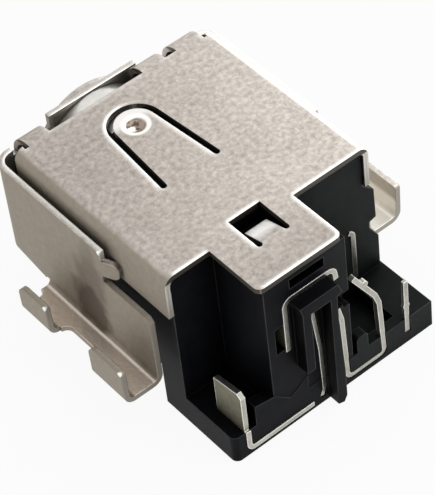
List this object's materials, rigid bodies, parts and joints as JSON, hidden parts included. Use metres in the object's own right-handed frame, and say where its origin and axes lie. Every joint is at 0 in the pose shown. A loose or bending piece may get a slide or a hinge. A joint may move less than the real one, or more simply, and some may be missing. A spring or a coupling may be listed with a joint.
{
  "type": "dc barrel jack",
  "caption": "Board-mounted DC barrel jack in a folded sheet shield with wings, upturned legs and a rear block of flat contacts.",
  "frame": {"origin": "middle of the bounding box, at the underside of the housing's base", "axes": "-Y out of the mouth, the way the plug leaves; +Z away from the base, square to the board"},
  "size_m": [0.0144, 0.0144, 0.0087],
  "materials": {
    "shield_sheet": "satin nickel-plated sheet",
    "black_moulding": "fine matt moulding",
    "sleeve_metal": "drawn, nickel plated",
    "contact_metal": "tin-plated strip, sheared edges",
    "pin_metal": "turned, plated"
  },
  "bodies": {
    "root": {"shield_shell": "shield_sheet", "housing": "black_moulding", "barrel_sleeve": "sleeve_metal", "centre_pin": "pin_metal", "hook_contact": "contact_metal", "blade_contact_left": "contact_metal", "blade_contact_right": "contact_metal", "u_contact": "contact_metal", "thin_contact": "contact_metal", "groove_contact": "contact_metal"}
  },
  "joints": []
}
